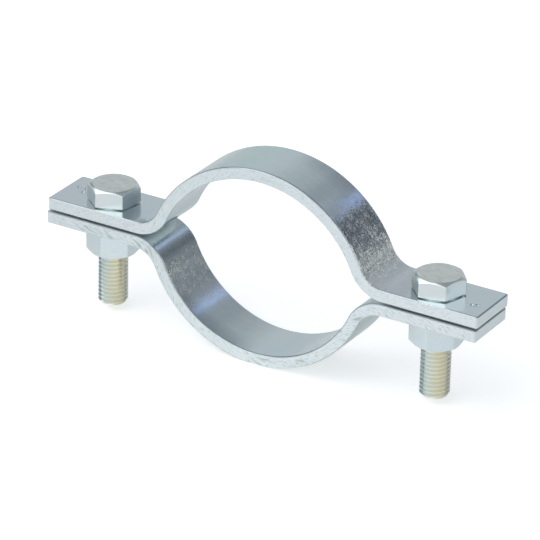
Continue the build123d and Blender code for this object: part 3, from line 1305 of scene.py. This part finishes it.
def nut_patches(side, centre_x):
    """Outside and thread of one nut, as grids that share their seams.

    The radius of the thread is the largest of three: the bolt's ridge plus the play, the bore, and
    the cone of the nearer countersink.
    """
    angles, hexagon = hexagon_columns(nut_turn[side])
    columns = len(angles)
    top = -ear_top
    low = top - nut_height
    drop = CONE_SLOPE * (hexagon - turned_radius)
    corners = [
        (SINK_RADIUS, top),
        (turned_radius, top),
        (hexagon, top - drop),
        (hexagon, low + drop),
        (turned_radius, low),
        (SINK_RADIUS, low),
    ]
    outside = profile_rows(corners, [HEX_CUT] * 4, columns)
    ridge, height = thread_surface(angles, low, top)
    ridge = np.maximum(ridge + NUT_PLAY, nut_minor)
    from_face = np.minimum(top - height, height - low)
    ridge = np.maximum(ridge, SINK_RADIUS - from_face)
    thread = np.stack([ridge, height], axis=-1)
    return [turned(outside, angles, centre_x, 0), turned(thread, angles, centre_x, 0)]


for side, centre_x in bolt_place.items():
    hex_nut = build_piece(side + "_hex_nut", nut_patches(side, centre_x), [nut_zinc], 50)
    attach(hex_nut, "lower_half")
    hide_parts(side + "_nut")

# %% [markdown]
# ## Floor
# The clamp stands on the crown of its lower half, on a plain white floor. To the camera the floor gives
# out a little light of its own, so it reads as white and still keeps the clamp's shadow. The metal sees
# another glow, a pool of light round the clamp that fades outwards, so the undersides aren't black. The
# Light Path node tells the two apart.

# %% Floor
FLOOR_REACH = 3.0
floor_z = -strap_high.z
floor_signs = [(-1, -1), (1, -1), (1, 1), (-1, 1)]
floor_points = [(x * FLOOR_REACH, y * FLOOR_REACH, floor_z) for x, y in floor_signs]
floor_mesh = bpy.data.meshes.new("floor")
floor_mesh.from_pydata(floor_points, [], [(0, 1, 2, 3)])
floor = bpy.data.objects.new("floor", floor_mesh)
bpy.context.scene.collection.objects.link(floor)

floor_white, tree, surface, place = new_finish("floor_white", 0.0)
surface.inputs["Base Color"].default_value = (0.81, 0.81, 0.81, 1)
surface.inputs["Roughness"].default_value = 0.9
surface.inputs["Emission Color"].default_value = (1, 1, 1, 1)
path_kind = add(tree, "LightPath").outputs
pool_middle = (0.02, -0.04, floor_z)
away = add(tree, "VectorMath", {0: place, 1: pool_middle}, operation="DISTANCE").outputs["Value"]
fading = {"Value": away, "From Min": 0.17, "From Max": 0.05, "To Min": 0.02, "To Max": 0.18}
pool = add(tree, "MapRange", fading).outputs[0]
in_metal = add(tree, "Math", {0: path_kind["Is Glossy Ray"], 1: pool}, operation="MULTIPLY").outputs[0]
both_glows = {0: path_kind["Is Camera Ray"], 1: 0.5, 2: in_metal}
glow = add(tree, "Math", both_glows, operation="MULTIPLY_ADD").outputs[0]
tree.links.new(glow, surface.inputs["Emission Strength"])
floor_mesh.materials.append(floor_white)
print("floor at", round(floor_z / MM, 2), "mm")

# %% [markdown]
# ## The room that the metal mirrors
# Bright metal shows what stands round it, so the room is the better half of its finish. Photographed
# walls would do, but a few soft patches are easier to move. The room is pale all round and bright in
# front, with a greyer wall behind and a grey ceiling, and there is a bright window on each side. Behind
# stand a pillar and a dark corner, with a narrow cool window between them that gives the blue bands.

# %% A soft patch of direction
world = bpy.data.worlds.new("studio")
world.use_nodes = True
bpy.context.scene.world = world
tree = world.node_tree
direction = add(tree, "TexCoord").outputs["Generated"]


def soft_patch(azimuth, elevation, inner, outer):
    """Mask of the directions near a middle one: 1 within inner degrees of it, 0 beyond outer.

    The middle is (cos up cos around, cos up sin around, sin up), and the dot product with it is the
    cosine of the angle between the two.
    """
    around = math.radians(azimuth)
    up = math.radians(elevation)
    middle = (math.cos(up) * math.cos(around), math.cos(up) * math.sin(around), math.sin(up))
    near = add(tree, "VectorMath", {0: direction, 1: middle}, operation="DOT_PRODUCT").outputs["Value"]
    limits = {"From Min": math.cos(math.radians(outer)), "From Max": math.cos(math.radians(inner))}
    return add(tree, "MapRange", {"Value": near, **limits}, interpolation_type="SMOOTHSTEP").outputs[0]


print("world made:", world.name)

# %% [markdown]
# ## The patches of the room
# A row of the room is the name of a patch, its direction as two angles, round the clamp from X and up,
# the two angles from its middle at which it starts to fade and is gone, and its colour. All angles are
# in degrees. Each patch is laid over the ones before it, like a coat of paint. The camera itself sees
# plain white instead, as behind a product on a page.

# %% World
room = [
    ("back wall", 120, 20, 40, 75, (0.53, 0.57, 0.61, 1)),
    ("ceiling", 90, 85, 36, 58, (0.27, 0.31, 0.34, 1)),
    ("right of the ceiling", 0, 50, 14, 26, (0.20, 0.22, 0.25, 1)),
    ("left curtain", 148, 27, 7, 22, (0.22, 0.26, 0.31, 1)),
    ("right window", 22, 26, 5, 11, (1.25, 1.35, 1.40, 1)),
    ("low wall", 52, 8, 10, 20, (0.18, 0.20, 0.22, 1)),
    ("pillar", 77, 36, 7, 14, (0.30, 0.33, 0.37, 1)),
    ("dark corner", 59, 23, 8, 13, (0.12, 0.13, 0.145, 1)),
    ("dark corner, right", 42, 25, 8, 12, (0.05, 0.07, 0.13, 1)),
    ("cool window", 67, 33, 1.4, 4.3, (0.58, 0.78, 1.40, 1)),
    ("upper window", 165, 52, 8, 16, (1.30, 1.38, 1.42, 1)),
    ("front light", 260, 12, 30, 60, (1.12, 1.17, 1.20, 1)),
]
colour = (0.82, 0.83, 0.85, 1)
for label, azimuth, elevation, inner_angle, outer_angle, shade in room:
    mask = soft_patch(azimuth, elevation, inner_angle, outer_angle)
    colour = colour_mix(tree, mask, colour, shade)
to_camera = add(tree, "LightPath").outputs["Is Camera Ray"]
colour = colour_mix(tree, to_camera, colour, (1, 1, 1, 1))
tree.links.new(colour, tree.nodes["Background"].inputs["Color"])
print("world:", [row[0] for row in room])

# %% [markdown]
# ## Key light
# The room lights the clamp from all round, which leaves it without a clear shadow. One large
# soft lamp in front and above, a disk 1.8 m wide and 1.7 m away, gives the soft shadow on the floor.

# %% Key light
lamp_data = bpy.data.lights.new("softbox", "AREA")
lamp_data.shape = "DISK"
lamp_data.size = 1.8
lamp_data.energy = 9
lamp = bpy.data.objects.new("softbox", lamp_data)
lamp.location = (-0.5, -0.7, 1.5)
lamp.rotation_euler = (-Vector(lamp.location)).to_track_quat("-Z", "Y").to_euler()
bpy.context.scene.collection.objects.link(lamp)
print("lamp:", round(lamp.location.length, 2), "m away")

# %% [markdown]
# ## Camera
# The clamp was photographed with a long lens from the front right and above. The camera's place, its
# directions and its lens were solved together with the sizes of the clamp, so they are kept as they
# came out. The third direction is square to the other two.

# %% Camera
camera_data = bpy.data.cameras.new("camera")
camera_data.sensor_width = 36
camera_data.lens = 293.32
camera_data.clip_start = 0.05
camera = bpy.data.objects.new("camera", camera_data)
camera_right = Vector((0.85633738, 0.51594756, 0.02200915)).normalized()
camera_ahead = Vector((-0.45657209, 0.77632777, -0.43457695)).normalized()
camera_up = camera_right.cross(camera_ahead)
camera_turn = Matrix((camera_right, camera_up, -camera_ahead)).transposed().to_4x4()
camera.matrix_world = Matrix.Translation((0.782524, -1.332492, 0.740045)) @ camera_turn
bpy.context.scene.collection.objects.link(camera)
bpy.context.scene.camera = camera
bpy.context.scene.view_settings.view_transform = "Standard"
print("lens:", round(camera_data.lens, 2), "mm")
